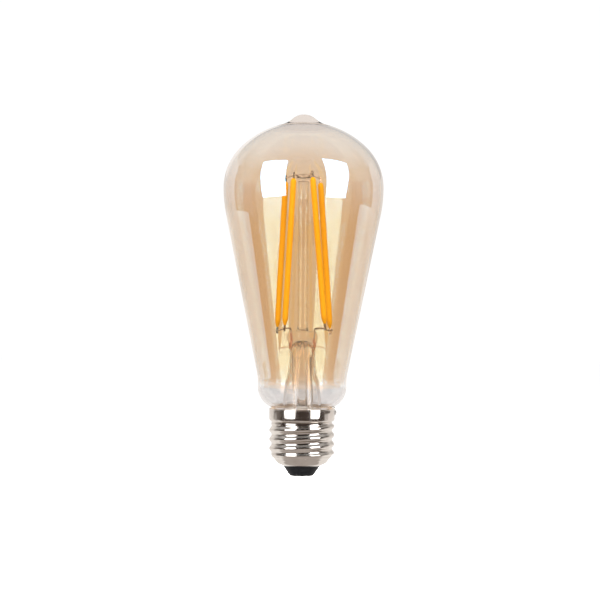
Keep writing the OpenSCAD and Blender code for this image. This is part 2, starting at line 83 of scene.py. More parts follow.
# Stem sections are (height, half width, half depth), and the cavity's roof adds the height of its folds.
STEM_WALL = 0.9
STEM_SIDES = 96
PRESS_FOOT_Z = 50
PRESS_BLEND = 5
STEM_SECTIONS = [
    (17, 10.3, 10.3), (18.6, 9.7, 9.7), (20.5, 9.0, 9.0), (24, 8.3, 8.3), (28, 7.8, 7.8), (33, 7.3, 7.3),
    (37, 6.8, 6.8), (40, 6.1, 6.1), (43, 5.5, 5.5), (48.5, 5.3, 5.3), (50.6, 5.3, 4.6), (52.4, 5.5, 3.2),
    (54, 6.0, 2.2), (55.6, 6.2, 1.9), (57.3, 5.7, 1.9), (58, 4.9, 1.6),
]
TUBE_TOP_Z = 48.5
CAVITY_ROOF = [(50.2, 4.3, 3.4, 0.15), (51.2, 4.1, 2.5, 0.6), (51.7, 3.9, 1.6, 0.9), (51.9, 3.6, 0.8, 1.0)]

EXHAUST_WALL = 0.7
EXHAUST_EDGE_R = 0.8
ROD_R = 2.0
BUTTON_H = 3.3
BUTTON_EDGE = 0.95
BUBBLES = 7
BUBBLE_ZONE = (96, 113)

# Outlines of the cap are (radius, height).
RIM_R = 13.1
RIM_FOOT_Z = 22.9
CREST_R = 13.05
ROOT_R = 12.1
CAP_WALL = 0.35
PITCH = 25.4 / 7
THREAD_FOOT_Z = 7.9
THREAD_TOP_Z = 21.4
THREAD_START_Z = 1.84
THREAD_FADE = 1.3
RIM_FILLET_R = 1.2
CAP_SHOULDER = [(8, 4.2), (9.2, 4.7), (9.9, 5.2), (10.6, 6.0), (11.2, 6.9), (11.9, 7.5)]
CAP_SHOULDER_INSIDE = [(11.5, 7.65), (10.9, 7.15), (10.3, 6.25), (9.65, 5.5), (9.05, 5.05), (8, 4.55)]
CONTACT_HOLE_R = 1.3

# Each filament has its foot's place, and the X and Y of its head.
FILAMENT_L = 58.4
FILAMENT_R = 1.2
FILAMENT_END_R = 0.5
FOOT_TAPER = 3.4
HEAD_TAPER = 1.6
FILAMENTS = [
    ((-10.2, 6.0, 59.4), (-7.2, 3.0)),
    ((-7.0, -9.0, 60.4), (-4.0, -4.4)),
    ((8.65, -7.8, 61.0), (3.6, -4.2)),
    ((11.1, 4.6, 59.1), (6.8, 2.6)),
]


# ---- Camera ----

CAMERA_PLACE = (-1.1 * MM, -0.7, 70.2 * MM)
CAMERA_TURN = math.radians(0.43)


def make_camera():
    """Level view along +Y, from a little left of the lamp's axis."""
    data = bpy.data.cameras.new("camera")
    data.lens = 105
    data.sensor_width = 36
    data.clip_start = 0.01
    camera = bpy.data.objects.new("camera", data)
    scene.collection.objects.link(camera)
    camera.matrix_world = (
        Matrix.Translation(CAMERA_PLACE)
        @ Matrix.Rotation(math.radians(90), 4, "X")
        @ Matrix.Rotation(CAMERA_TURN, 4, "Z")
    )
    scene.camera = camera


# ---- Mesh helpers ----

def new_piece(name, bm, material, smooth_below=50, body="root"):
    """A mesh object in metres from a bmesh in millimetres, riding on its body."""
    bmesh.ops.scale(bm, vec=(MM, MM, MM), verts=bm.verts)
    bmesh.ops.recalc_face_normals(bm, faces=bm.faces)
    limit = math.radians(smooth_below)
    for edge in bm.edges:
        edge.smooth = len(edge.link_faces) == 2 and edge.calc_face_angle() < limit
    for face in bm.faces:
        face.smooth = True
    mesh = bpy.data.meshes.new(name)
    bm.to_mesh(mesh)
    bm.free()
    piece = bpy.data.objects.new(name, mesh)
    scene.collection.objects.link(piece)
    mesh.materials.append(material)
    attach(piece, body)
    return piece


def arc(centre, radius, start, end, steps):
    """Points along an arc in the (radius, height) plane, angles in radians."""
    return [
        (
            centre[0] + radius * math.cos(start + (end - start) * i / steps),
            centre[1] + radius * math.sin(start + (end - start) * i / steps),
        )
        for i in range(steps + 1)
    ]


def spline(points, steps):
    """Smooth curve through every point, with steps points on each leg."""
    points = [Vector(p) for p in points]
    last = len(points) - 1
    line = []
    for i in range(last):
        a, b, c, d = points[max(i - 1, 0)], points[i], points[i + 1], points[min(i + 2, last)]
        for k in range(steps):
            t = k / steps
            line.append(0.5 * (2 * b + (c - a) * t + (2 * a - 5 * b + 4 * c - d) * t ** 2
                               + (3 * b - a - 3 * c + d) * t ** 3))
    return line + [points[-1]]


def ease(x):
    """Smooth step from 0 to 1."""
    t = min(max(x, 0), 1)
    return t * t * (3 - 2 * t)


def revolve(outline, segments, closed=True):
    """A skin turned about the lamp's axis; points on the axis become single poles."""
    bm = bmesh.new()
    rings = []
    for r, z in outline:
        if r < 1e-6:
            rings.append([bm.verts.new((0, 0, z))])
            continue
        rings.append([
            bm.verts.new((r * math.cos(math.tau * k / segments), r * math.sin(math.tau * k / segments), z))
            for k in range(segments)
        ])
    pairs = list(zip(rings, rings[1:]))
    if closed:
        pairs.append((rings[-1], rings[0]))
    for lower, upper in pairs:
        bridge(bm, lower, upper)
    return bm


def bridge(bm, lower, upper):
    """Faces between two rings, or between a ring and a pole."""
    if len(lower) == 1 and len(upper) == 1:
        return
    count = max(len(lower), len(upper))
    for k in range(count):
        n = (k + 1) % count
        if len(lower) == 1:
            bm.faces.new((lower[0], upper[k], upper[n]))
        elif len(upper) == 1:
            bm.faces.new((lower[k], upper[0], lower[n]))
        else:
            bm.faces.new((lower[k], upper[k], upper[n], lower[n]))


# ---- Material helpers ----

def new_material(name):
    """A node material, with its tree and its shader."""
    material = bpy.data.materials.new(name)
    material.use_nodes = True
    tree = material.node_tree
    return material, tree, tree.nodes["Principled BSDF"]


def add(tree, kind, **settings):
    """A node with settings: plain ones are properties, and those in inputs are socket values."""
    node = tree.nodes.new(kind)
    for key, value in settings.pop("inputs", {}).items():
        node.inputs[key].default_value = value
    for key, value in settings.items():
        setattr(node, key, value)
    return node


def height_ramp(tree, stops):
    """A colour that follows the height above the lamp's foot; stops are (height in mm, colour)."""
    low, high = stops[0][0], stops[-1][0]
    place = add(tree, "ShaderNodeTexCoord")
    split = add(tree, "ShaderNodeSeparateXYZ")
    scale = add(tree, "ShaderNodeMapRange", inputs={"From Min": low * MM, "From Max": high * MM})
    ramp = add(tree, "ShaderNodeValToRGB")
    tree.links.new(place.outputs["Object"], split.inputs[0])
    tree.links.new(split.outputs["Z"], scale.inputs["Value"])
    tree.links.new(scale.outputs["Result"], ramp.inputs["Fac"])
    fill_ramp(ramp, [((z - low) / (high - low), colour) for z, colour in stops])
    return ramp.outputs["Color"]


def fill_ramp(ramp, stops):
    """Set a colour ramp; stops are (position, colour)."""
    elements = ramp.color_ramp.elements
    while len(elements) > 1:
        elements.remove(elements[-1])
    elements[0].position = stops[0][0]
    elements[0].color = (*stops[0][1], 1)
    for position, colour in stops[1:]:
        element = elements.new(position)
        element.color = (*colour, 1)


def noise_field(tree, scale, detail=3.0, stretch=(1, 1, 1)):
    """Noise in object space, scale in waves per metre."""
    place = add(tree, "ShaderNodeTexCoord")
    mapping = add(tree, "ShaderNodeMapping", inputs={"Scale": stretch})
    field = add(tree, "ShaderNodeTexNoise", inputs={"Scale": scale, "Detail": detail})
    tree.links.new(place.outputs["Object"], mapping.inputs["Vector"])
    tree.links.new(mapping.outputs["Vector"], field.inputs["Vector"])
    return field.outputs["Fac"]


def vary(tree, fac, socket, low, high):
    """Drive a number socket between two values with a 0 to 1 field."""
    spread = add(tree, "ShaderNodeMapRange", inputs={
        "From Min": 0.3, "From Max": 0.7, "To Min": low, "To Max": high})
    tree.links.new(fac, spread.inputs["Value"])
    tree.links.new(spread.outputs["Result"], socket)


def blend_colours(tree, fac, shader, dark, light):
    """Base colour between two colours, by a 0 to 1 field."""
    ramp = add(tree, "ShaderNodeValToRGB")
    fill_ramp(ramp, [(0.3, dark), (0.7, light)])
    tree.links.new(fac, ramp.inputs["Fac"])
    tree.links.new(ramp.outputs["Color"], shader.inputs["Base Color"])


def bump(tree, fac, shader, height_mm, strength=1.0):
    """Fine relief of a height in millimetres."""
    node = add(tree, "ShaderNodeBump", inputs={"Strength": strength, "Distance": height_mm * MM})
    tree.links.new(fac, node.inputs["Height"])
    tree.links.new(node.outputs["Normal"], shader.inputs["Normal"])


# ---- Materials ----

def amber_glass():
    """Clear glass with a lustre coating inside: it passes amber light and mirrors the blue end."""
    material, tree, shader = new_material("amber_glass")
    shader.inputs["Transmission Weight"].default_value = 1.0
    shader.inputs["Roughness"].default_value = 0.0
    shader.inputs["IOR"].default_value = 2.4
    shader.inputs["Specular Tint"].default_value = (0.25, 0.62, 1.0, 1)
    colour = height_ramp(tree, [
        (COATING_EDGE_Z, (0.95, 0.94, 0.93)), (38.2, (0.885, 0.80, 0.70)), (46, (0.865, 0.765, 0.63)),
        (60, (0.853, 0.735, 0.58)), (100, (0.85, 0.73, 0.57)), (110, (0.866, 0.765, 0.65)),
        (120, (0.89, 0.83, 0.77)), (127, (0.905, 0.875, 0.835)), (132, (0.92, 0.90, 0.87)),
        (145, (0.94, 0.93, 0.92))])
    tree.links.new(colour, shader.inputs["Base Color"])
    return material


def clear_glass(name="clear_glass", tint=(0.95, 0.94, 0.93), ior=1.5):
    """Plain glass, its tint hardly uneven."""
    material, tree, shader = new_material(name)
    shader.inputs["Transmission Weight"].default_value = 1.0
    shader.inputs["IOR"].default_value = ior
    shader.inputs["Roughness"].default_value = 0.0
    blend_colours(tree, noise_field(tree, 60), shader, tint, tuple(min(1, c + 0.02) for c in tint))
    return material


def metal(name, dark, light, rough=(0.1, 0.25), grain=600, dent=0.01, metallic=1.0):
    """Metal with an uneven tone and polish; grain is in waves per metre and dent in millimetres."""
    material, tree, shader = new_material(name)
    shader.inputs["Metallic"].default_value = metallic
    field = noise_field(tree, grain)
    blend_colours(tree, field, shader, dark, light)
    vary(tree, field, shader.inputs["Roughness"], *rough)
    bump(tree, noise_field(tree, grain * 2), shader, dent, 0.3)
    return material


def matte(name, dark, light, rough=(0.4, 0.6), grain=1500, dent=0.02, specular=0.5):
    """Plastic, ceramic, board or paint; grain is in waves per metre and dent in millimetres."""
    material, tree, shader = new_material(name)
    shader.inputs["Specular IOR Level"].default_value = specular
    field = noise_field(tree, grain)
    blend_colours(tree, field, shader, dark, light)
    vary(tree, field, shader.inputs["Roughness"], *rough)
    bump(tree, noise_field(tree, grain * 1.7), shader, dent, 0.4)
    return material


# ---- Glass envelope ----

def two_circles(za, ra, zb, rb):
    """Right-hand crossing of two circles whose centres are on the axis."""
    d = zb - za
    z = za + (d * d + ra * ra - rb * rb) / (2 * d)
    return math.sqrt(ra * ra - (z - za) ** 2), z


def envelope_side(inset):
    """Envelope from the neck's foot to the start of the dome, moved inwards."""
    dome_drop = math.sqrt((DOME_R - SHOULDER_R) ** 2 - (BULB_R - SHOULDER_R) ** 2)
    shoulder_angle = math.atan2(dome_drop, BULB_R - SHOULDER_R)
    foot_r = BULB_R - FLANK_R * (1 - math.cos(TAPER))
    foot_z = WIDEST_Z - FLANK_R * math.sin(TAPER)
    blend_x = BAND_R + BAND_BLEND_R * (1 - math.cos(TAPER))
    band_top_z = foot_z - BAND_BLEND_R * math.sin(TAPER) - (foot_r - blend_x) / math.tan(TAPER)
    reach = NECK_R + NECK_FILLET_R - BAND_R + NECK_ARC_R
    fillet_z = BAND_FOOT_Z - math.sqrt((NECK_ARC_R + NECK_FILLET_R) ** 2 - reach ** 2)
    neck_angle = math.atan2(BAND_FOOT_Z - fillet_z, reach)
    straight_from = (BAND_R + BAND_BLEND_R - (BAND_BLEND_R + inset) * math.cos(TAPER),
                     band_top_z + (BAND_BLEND_R + inset) * math.sin(TAPER))
    straight_to = (BULB_R - FLANK_R + (FLANK_R - inset) * math.cos(TAPER),
                   WIDEST_Z - (FLANK_R - inset) * math.sin(TAPER))
    straight = [
        tuple(a + (b - a) * i / 24 for a, b in zip(straight_from, straight_to)) for i in range(1, 24)
    ]
    return (
        [(NECK_R - inset, NECK_FOOT_Z)]
        + arc((NECK_R + NECK_FILLET_R, fillet_z), NECK_FILLET_R + inset, math.pi, math.pi - neck_angle, 8)
        + arc((BAND_R - NECK_ARC_R, BAND_FOOT_Z), NECK_ARC_R - inset, -neck_angle, 0, 20)[1:]
        + arc((BAND_R + BAND_BLEND_R, band_top_z), BAND_BLEND_R + inset, math.pi, math.pi - TAPER, 6)
        + straight
        + arc((BULB_R - FLANK_R, WIDEST_Z), FLANK_R - inset, -TAPER, 0, 14)
        + arc((BULB_R - SHOULDER_R, WIDEST_Z), SHOULDER_R - inset, math.radians(3), shoulder_angle, 20)
    ), WIDEST_Z - dome_drop, shoulder_angle


def make_envelope(glass, clear, tip_glass):
    """The blown envelope with its sealed tip: coated from the neck to the tip, clear below and above."""
    side, dome_z, shoulder_angle = envelope_side(0)
    bore = envelope_side(GLASS_WALL)[0]
    tip_z = TIP_TOP_Z - TIP_R
    fillet = two_circles(dome_z, DOME_R + TIP_FILLET_R, tip_z, TIP_R + TIP_FILLET_R)
    dome_end = math.atan2(fillet[1] - dome_z, fillet[0])
    cap_start = math.atan2(fillet[1] - tip_z, fillet[0])
    step = math.radians(2)
    tip = (
        arc((0, dome_z), DOME_R, shoulder_angle + step, dome_end, 18)
        + arc(fillet, TIP_FILLET_R, dome_end + math.pi, cap_start + math.pi, 10)[1:]
        + arc((0, tip_z), TIP_R, cap_start + step * 3, math.pi / 2 - step * 2, 14)
        + [(0, TIP_TOP_Z)]
    )
    crown = [(0, dome_z + DOME_R - GLASS_WALL)] + arc(
        (0, dome_z), DOME_R - GLASS_WALL, math.pi / 2 - step, shoulder_angle + step, 22)
    bm = revolve(side + tip + crown + bore[::-1], ENVELOPE_SIDES)
    piece = new_piece("glass_envelope", bm, glass)
    piece.data.materials.append(clear)
    piece.data.materials.append(tip_glass)
    for face in piece.data.polygons:
        if face.center.z < COATING_EDGE_Z * MM:
            face.material_index = 1
        elif face.center.z > TIP_EDGE_Z * MM:
            face.material_index = 2
    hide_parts("glass_bulb")
    piece.visible_shadow = False


# ---- Stem ----

def stem_ring(bm, z, half_x, half_y, folds=0):
    """An oval ring of the stem: round in the tube, flat faced with round ends in the press."""
    power = 1 - 0.5 * ease((z - PRESS_FOOT_Z) / PRESS_BLEND)
    ring = []
    for k in range(STEM_SIDES):
        c, s = math.cos(math.tau * k / STEM_SIDES), math.sin(math.tau * k / STEM_SIDES)
        x = half_x * math.copysign(abs(c) ** power, c)
        y = half_y * math.copysign(abs(s) ** power, s)
        ring.append(bm.verts.new((x, y, z + folds * crown_height(x))))
    return ring


def crown_height(x):
    """The molten glass closes over the tube in three folds, like a small crown."""
    def tent(centre, half_width):
        return max(0, 1 - abs(x - centre) / half_width)

    return 2.4 * tent(0, 1.0) + 1.1 * tent(-2.2, 0.9) + 1.2 * tent(2.3, 0.9) + 0.4 * tent(-3.6, 0.5)


def make_stem(glass):
    """Flare, tube and flattened press, hollow up to the folded roof of the tube."""
    bm = bmesh.new()
    outside = [stem_ring(bm, *s) for s in spline(STEM_SECTIONS, 4)]
    tube = spline([s for s in STEM_SECTIONS if s[0] <= TUBE_TOP_Z], 4)
    inside = [stem_ring(bm, z, a - STEM_WALL, b - STEM_WALL) for z, a, b in tube]
    inside += [stem_ring(bm, *ring) for ring in CAVITY_ROOF]
    for lower, upper in list(zip(outside, outside[1:])) + list(zip(inside, inside[1:])):
        bridge(bm, lower, upper)
    bridge(bm, outside[0], inside[0])
    bm.faces.new(outside[-1])
    bm.faces.new(inside[-1])
    piece = new_piece("stem_press", bm, glass)
    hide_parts("stem_glass")
    piece.visible_shadow = False


def make_exhaust(glass):
    """The pump tube, sealed off at its lower end."""
    low, high = box_mm("exhaust_tube")
    radius = (high.x - low.x) / 2
    bore = radius - EXHAUST_WALL
    floor_z = low.z + EXHAUST_WALL
    edge_z = low.z + EXHAUST_EDGE_R
    outline = (
        [(0, low.z), (0.6, low.z), (1.1, low.z)]
        + arc((radius - EXHAUST_EDGE_R, edge_z), EXHAUST_EDGE_R, -math.pi / 2, 0, 8)
        + [(radius, high.z), (bore, high.z), (bore, edge_z + 0.3)]
        + [(bore - 0.15, floor_z + 0.08), (bore - 0.4, floor_z), (0, floor_z)]
    )
    piece = new_piece("exhaust_tube_glass", revolve(outline, 64, closed=False), glass)
    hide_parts("exhaust_tube")
    piece.visible_shadow = False


def make_rod(glass):
    """The solid rod with its fused foot, its button and a few long bubbles."""
    low, high = box_mm("centre_rod")
    button_r = (high.x - low.x) / 2
    foot, top = low.z, high.z
    button_foot = top - BUTTON_H
    button_mid = (button_foot + top) / 2
    outline = (
        [(0, foot), (2.6, foot), (2.35, foot + 0.4), (2.12, foot + 1.1), (ROD_R, foot + 2.2)]
        + [(ROD_R, foot + 2.2 + (button_foot - foot - 3.4) * i / 20) for i in range(1, 21)]
        + [(ROD_R + 0.15, button_foot - 0.4)]
        + [(button_r - BUTTON_EDGE + BUTTON_EDGE * math.cos(a), button_mid + 1.5 * math.sin(a))
           for a in (math.radians(d) for d in range(-75, 80, 12))]
        + [(1.2, top - 0.02), (0, top)]
    )
    bm = revolve(outline, 64, closed=False)
    random.seed(4)
    for _ in range(BUBBLES):
        spot = Vector((random.uniform(-1.1, 1.1), random.uniform(-1.2, 0.6), random.uniform(*BUBBLE_ZONE)))
        bubble = bmesh.ops.create_icosphere(bm, subdivisions=3, radius=1.0)["verts"]
        size = random.uniform(0.14, 0.3)
        bmesh.ops.scale(bm, vec=(size, size, size * random.uniform(1.2, 2.4)), verts=bubble)
        bmesh.ops.translate(bm, vec=spot, verts=bubble)
    piece = new_piece("centre_rod_glass", bm, glass)
    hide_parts("centre_rod")
    piece.visible_shadow = False


# ---- Filaments ----

def filament_frame(i):
    """A matrix that lays +Z along filament i from its foot, in millimetres."""
    foot, (top_x, top_y) = Vector(FILAMENTS[i][0]), FILAMENTS[i][1]
    level = (top_x - foot.x) ** 2 + (top_y - foot.y) ** 2
    head = Vector((top_x, top_y, foot.z + math.sqrt(FILAMENT_L ** 2 - level)))
    turn = (head - foot).to_track_quat("Z", "Y").to_matrix().to_4x4()
    return Matrix.Translation(foot) @ turn


def make_filament(i, material):
    """The phosphor coat: dispensed silicone, fat in the middle and drawn in at both ends."""
    sides, rings = 48, 180
    bm = bmesh.new()
    loops = []
    for n in range(rings + 1):
        z = FILAMENT_L * n / rings
        foot = math.sin(min(1, z / FOOT_TAPER) * math.pi / 2)
        head = math.sin(min(1, (FILAMENT_L - z) / HEAD_TAPER) * math.pi / 2) ** 0.7
        r = FILAMENT_END_R + (FILAMENT_R - FILAMENT_END_R) * foot * head
        ring = []
        for k in range(sides):
            a = math.tau * k / sides
            grain = noise.noise(Vector((math.cos(a), math.sin(a), z * 0.35 + 9 * i)))
            radius = min(r * (1 + 0.03 * (grain - 0.35)), FILAMENT_R)
            ring.append(bm.verts.new((radius * math.cos(a), radius * math.sin(a), z)))
        loops.append(ring)
    for lower, upper in zip(loops, loops[1:]):
        bridge(bm, lower, upper)
    bm.faces.new(loops[0])
    bm.faces.new(loops[-1])
    bm.transform(filament_frame(i))
    piece = new_piece(f"phosphor_coat_{i + 1}", bm, material)
    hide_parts(f"filament_{i + 1}")


def phosphor():
    """Yellow silicone full of phosphor grains."""
    material, tree, shader = new_material("phosphor")
    field = noise_field(tree, 900)
    blend_colours(tree, field, shader, (1.0, 0.475, 0.008), (1.0, 0.53, 0.02))
    vary(tree, field, shader.inputs["Roughness"], 0.3, 0.5)
    bump(tree, noise_field(tree, 2500), shader, 0.03, 0.4)
    return material


# ---- Screw cap ----

def thread_r(angle, z):
    """Radius of the rolled thread's outer face at an angle and height."""
    middle, swing = (CREST_R + ROOT_R) / 2, (CREST_R - ROOT_R) / 2
    wave = middle + swing * math.cos(math.tau * (z - THREAD_START_Z) / PITCH - angle)
    fade = ease((z - THREAD_FOOT_Z) / THREAD_FADE) * ease((THREAD_TOP_Z - z) / THREAD_FADE)
    return ROOT_R + (wave - ROOT_R) * fade


def make_cap(material):
    """The rolled shell: shoulder, thread and rim outside, and the same again inside."""
    columns, rows = 240, 150
    bm = bmesh.new()
    angles = [math.tau * k / columns for k in range(columns)]

    def ring(radius, z):
        """Points round the cap; radius(angle) gives their distance from the axis."""
        return [bm.verts.new((radius(a) * math.cos(a), radius(a) * math.sin(a), z)) for a in angles]

    shoulder = [(p.x, p.z) for p in spline([(r, 0, z) for r, z in CAP_SHOULDER], 6)]
    outside = [ring(lambda a, r=r: r, z) for r, z in shoulder]
    heights = [THREAD_FOOT_Z + (THREAD_TOP_Z - THREAD_FOOT_Z) * n / rows for n in range(rows + 1)]
    outside += [ring(lambda a, z=z: thread_r(a, z), z) for z in heights]
    rim = (
        [(ROOT_R + 0.02, THREAD_TOP_Z + 0.3)]
        + arc((RIM_R - RIM_FILLET_R, RIM_FOOT_Z), RIM_FILLET_R, math.radians(-70), 0, 10)
        + [(RIM_R, CAP_TOP_Z - 0.5), (RIM_R - 0.03, CAP_TOP_Z - 0.42), (RIM_R, CAP_TOP_Z - 0.34),
           (RIM_R, CAP_TOP_Z - 0.14), (RIM_R - 0.05, CAP_TOP_Z - 0.04), (RIM_R - 0.16, CAP_TOP_Z),
           (RIM_R - 0.3, CAP_TOP_Z - 0.03), (RIM_R - CAP_WALL, CAP_TOP_Z - 0.12)]
    )
    outside += [ring(lambda a, r=r: r, z) for r, z in rim]
    inner_rim = [(RIM_R - CAP_WALL, RIM_FOOT_Z), (RIM_R - CAP_WALL - 0.5, RIM_FOOT_Z - 1)]
    inside = [ring(lambda a, r=r: r, z) for r, z in inner_rim]
    inside += [ring(lambda a, z=z: thread_r(a, z) - CAP_WALL, z) for z in heights[::-2]]
    inside += [ring(lambda a, r=r: r, z) for r, z in CAP_SHOULDER_INSIDE]
    loops = outside + inside
    for lower, upper in zip(loops, loops[1:] + loops[:1]):
        bridge(bm, lower, upper)
    piece = new_piece("screw_cap", bm, material, smooth_below=40)
    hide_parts("cap_shell")


def make_insulator(material):
    """The black glass cone under the cap, moulded against the inside of the shoulder."""
    cone_foot, cone_top = (4.99, 0.46), (7.26, 3.78)
    outline = (
        [(CONTACT_HOLE_R, 0.32), (4.7, 0.3), (4.86, 0.34), cone_foot]
        + [tuple(a + (b - a) * t for a, b in zip(cone_foot, cone_top)) for t in (0.25, 0.5, 0.75, 1)]
        + [(7.42, 3.96), (7.6, 4.06), (8, 4.2)]
        + CAP_SHOULDER_INSIDE[:1:-1]
        + [(10.3, 6.6), (CONTACT_HOLE_R, 6.0)]
    )
    piece = new_piece("black_glass_insulator", revolve(outline, 128), material, smooth_below=60)
    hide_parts("cap_insulator")


# ---- Studio, in metres and degrees ----

CARD_DISTANCE = 1.0
WALL_DISTANCE = 2.0
CEILING_DISTANCE = 1.9
CARD_CENTRE = Vector((0, 0, 110 * MM))
CAP_CARD_DISTANCE = 70 * MM
FLOOR_Z = -0.09
FLOOR_HALF = 4
LAMP_SIZE = 0.8
LAMP_POWER = 15.5
INSIDE_CROSSINGS = 3.5


def reflected_only(tree, shown, hidden=None):
    """The shader shows to rays that have met a mirror-like surface, and others pass it by."""
    path = add(tree, "ShaderNodeLightPath")
    once = add(tree, "ShaderNodeMath", operation="MINIMUM", inputs={1: 1.0})
    mix = add(tree, "ShaderNodeMixShader")
    hidden = hidden or add(tree, "ShaderNodeBsdfTransparent")
    tree.links.new(path.outputs["Glossy Depth"], once.inputs[0])
    tree.links.new(once.outputs[0], mix.inputs["Fac"])
    tree.links.new(hidden.outputs[0], mix.inputs[1])
    tree.links.new(shown.outputs[0], mix.inputs[2])
    return mix


def direction(azimuth, elevation):
    """Unit vector; azimuth 0 is the camera's side and 90 is +X, in degrees."""
    az, el = math.radians(azimuth), math.radians(elevation)
    return Vector((math.cos(el) * math.sin(az), -math.cos(el) * math.cos(az), math.sin(el)))


def panel(name, grid, glow):
    """A studio panel through a grid of points, seen only in reflections. glow(tree) adds its shader."""
    bm = bmesh.new()
    points = [[bm.verts.new(p) for p in line] for line in grid]
    for a, b in zip(points, points[1:]):
        for i in range(len(a) - 1):
            bm.faces.new((a[i], a[i + 1], b[i + 1], b[i]))
    mesh = bpy.data.meshes.new(name)
    bm.to_mesh(mesh)
    bm.free()
    card = bpy.data.objects.new(name, mesh)
    scene.collection.objects.link(card)
    material = bpy.data.materials.new(name)
    material.use_nodes = True
    tree = material.node_tree
    tree.nodes.clear()
    output = add(tree, "ShaderNodeOutputMaterial")
    tree.links.new(reflected_only(tree, glow(tree)).outputs[0], output.inputs["Surface"])
    material.cycles.emission_sampling = "NONE"
    mesh.materials.append(material)
    card.visible_camera = False
    card.visible_diffuse = False
    card.visible_shadow = False


def even_glow(strength, colour=(1, 1, 1)):
    """The same light all over a panel."""
    inputs = {"Color": (*colour, 1), "Strength": strength}
    return lambda tree: add(tree, "ShaderNodeEmission", inputs=inputs)


def softbox(name, corners, strength):
    """A flat light: corners are directions, from the lower inner one round to the upper inner one."""
    a, b, c, d = (CARD_CENTRE + CARD_DISTANCE * direction(*corner) for corner in corners)
    panel(name, [[a, b], [d, c]], even_glow(strength, (0.97, 0.98, 1.0)))


def wall(name, azimuth, foot, top, glow):
    """A wide panel round part of the set; foot and top give its elevations at an azimuth."""
    columns, rows = 32, 12
    grid = []
    for j in range(rows + 1):
        line = []
        for i in range(columns + 1):
            az = azimuth[0] + (azimuth[1] - azimuth[0]) * i / columns
            el = foot(az) + (top(az) - foot(az)) * j / rows
            line.append(CARD_CENTRE + WALL_DISTANCE * direction(az, el))
        grid.append(line)
    panel(name, grid, glow)


def cap_card(name, azimuth, strength):
    """A small pale card standing beside the cap, below the sight of the glass."""
    azimuths = [azimuth[0] + (azimuth[1] - azimuth[0]) * i / 8 for i in range(9)]
    grid = [
        [CAP_CARD_DISTANCE * direction(az, 0) + Vector((0, 0, z * MM)) for az in azimuths]
        for z in (-20, 5, 30)
    ]
    panel(name, grid, even_glow(strength, (1, 0.94, 0.9)))


def smooth_range(tree, low, high, top=1.0):
    """A node that eases from 0 at low to top at high."""
    return add(tree, "ShaderNodeMapRange", interpolation_type="SMOOTHSTEP", inputs={
        "From Min": low, "From Max": high, "To Min": 0.0, "To Max": top})


def ceiling_glow(tree):
    """Brightest high up towards the backdrop, fading to nothing over the camera and low on the sides."""
    foot_z, full_z = (
        CARD_CENTRE.z + CEILING_DISTANCE * math.sin(math.radians(elevation)) for elevation in (16, 58))
    place = add(tree, "ShaderNodeTexCoord")
    split = add(tree, "ShaderNodeSeparateXYZ")
    depth = smooth_range(tree, -0.85 * CEILING_DISTANCE, 0.25 * CEILING_DISTANCE, 0.6)
    lift = smooth_range(tree, foot_z, full_z)
    rear = smooth_range(tree, 0.4, 1.1)
    either = add(tree, "ShaderNodeMath", operation="MAXIMUM")
    both = add(tree, "ShaderNodeMath", operation="MULTIPLY")
    glow = add(tree, "ShaderNodeEmission", inputs={"Color": (1, 0.96, 0.93, 1)})
    tree.links.new(place.outputs["Object"], split.inputs[0])
    tree.links.new(split.outputs["Y"], depth.inputs["Value"])
    tree.links.new(split.outputs["Y"], rear.inputs["Value"])
    tree.links.new(split.outputs["Z"], lift.inputs["Value"])
    tree.links.new(lift.outputs["Result"], either.inputs[0])
    tree.links.new(rear.outputs["Result"], either.inputs[1])
    tree.links.new(depth.outputs["Result"], both.inputs[0])
    tree.links.new(either.outputs[0], both.inputs[1])
    tree.links.new(both.outputs[0], glow.inputs["Strength"])
    return glow


def backdrop_glow(tree):
    """A little brighter left of the middle and dimmer right of it."""
    place = add(tree, "ShaderNodeTexCoord")
    split = add(tree, "ShaderNodeSeparateXYZ")
    across = add(tree, "ShaderNodeMapRange", inputs={
        "From Min": -WALL_DISTANCE, "From Max": WALL_DISTANCE})
    ramp = add(tree, "ShaderNodeValToRGB")
    glow = add(tree, "ShaderNodeEmission", inputs={"Strength": 1.0})
    shades = [(0, 0.8), (0.2, 0.84), (0.28, 0.95), (0.42, 1.0), (0.5, 0.85), (0.62, 0.7), (0.72, 0.6),
              (0.78, 0.68), (0.83, 0.8), (1, 0.8)]
    fill_ramp(ramp, [(x, (v, 0.95 * v, 0.91 * v)) for x, v in shades])
    tree.links.new(place.outputs["Object"], split.inputs[0])
    tree.links.new(split.outputs["X"], across.inputs["Value"])
    tree.links.new(across.outputs["Result"], ramp.inputs["Fac"])
    tree.links.new(ramp.outputs["Color"], glow.inputs["Color"])
    return glow


def make_ceiling():
    """A dome over the whole set."""
    grid = [
        [CARD_CENTRE + CEILING_DISTANCE * direction(az, el) for az in range(0, 361, 15)]
        for el in (24, 34, 44, 54, 64, 74, 84, 89.9)
    ]
    panel("ceiling", grid, ceiling_glow)


def backdrop_top(azimuth):
    """The backdrop's top edge falls away to both sides."""
    return 56 * max(math.cos(math.radians(azimuth - 180)), 0) ** 1.4


def table_right_top(azimuth):
    """The far edge of the table rises slowly towards the back."""
    return -8 + 2 * (azimuth - 90) / 30


def table_left_top(azimuth):
    """The same edge on the left, which lies lower."""
    return -13 + 4.5 * (270 - azimuth) / 24


